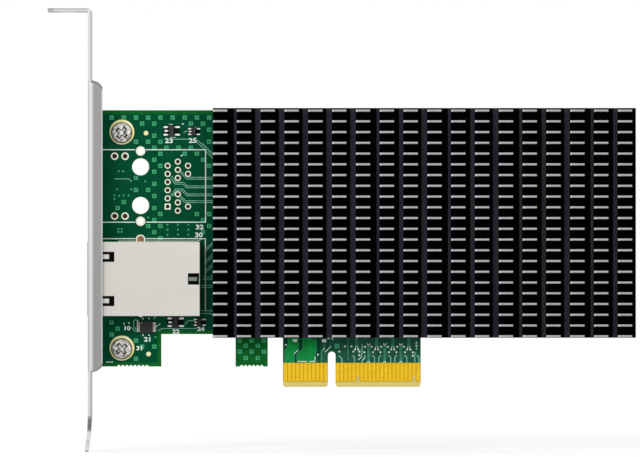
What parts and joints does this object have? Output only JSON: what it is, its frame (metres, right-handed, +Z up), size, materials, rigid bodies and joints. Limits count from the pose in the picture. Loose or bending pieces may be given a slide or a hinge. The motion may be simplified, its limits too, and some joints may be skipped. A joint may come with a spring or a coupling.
{
  "type": "network interface card",
  "caption": "Network card: green edge-connector board, steel bracket with one socket, and a broad black heat sink of short upright plate fins.",
  "frame": {"origin": "middle of the key notch at the tips of the edge fingers, halfway through the board's thickness", "axes": "+X along the board away from the bracket, +Z up out of the slot, component side and heat sink facing -Y"},
  "size_m": [0.1461, 0.0184, 0.1101],
  "materials": {
    "laminate": "glass-fibre laminate under glossy green solder mask",
    "gold": "hard gold plating over copper",
    "bracket_steel": "nickel-plated steel sheet",
    "screw_steel": "bright nickel-plated steel",
    "black_anodised": "black anodised, bright machined fin tips",
    "standoff_metal": "nickel-plated hexagon bar, brazed to the heat sink",
    "substrate": "chip substrate",
    "nickel_lid": "nickel-plated copper",
    "gap_pad": "soft silicone pad",
    "shell_steel": "tin-plated steel sheet",
    "black_moulding": "black moulded thermoplastic",
    "light_pipe": "milky lamp moulding",
    "tinned": "tinned copper",
    "chip_black": "moulded epoxy",
    "ferrite": "pressed ferrite",
    "tantalum_case": "moulded yellow epoxy case",
    "crystal_can": "plated lid",
    "ceramic": "sintered ceramic with tinned ends"
  },
  "bodies": {
    "root": {"circuit_board": "laminate", "edge_fingers_front": "gold", "edge_fingers_back": "gold", "bracket": "bracket_steel", "bracket_screws": "screw_steel", "heat_sink": "black_anodised", "heat_sink_screws": "screw_steel", "heat_sink_standoffs": "standoff_metal", "controller_substrate": "substrate", "controller_lid": "nickel_lid", "thermal_pad": "gap_pad", "jack_shell": "shell_steel", "jack_housing": "black_moulding", "jack_light_upper": "light_pipe", "jack_light_lower": "light_pipe", "jack_contact_wires": "gold", "jack_coil_block": "black_moulding", "jack_pins": "tinned", "control_chip_body": "chip_black", "control_chip_leads": "tinned", "surge_protector_bodies": "chip_black", "surge_protector_leads": "tinned", "flash_memory": "chip_black", "power_coils": "ferrite", "supply_capacitors": "tantalum_case", "voltage_regulator": "chip_black", "timing_crystal": "crystal_can", "ceramic_capacitors": "ceramic"}
  },
  "joints": []
}
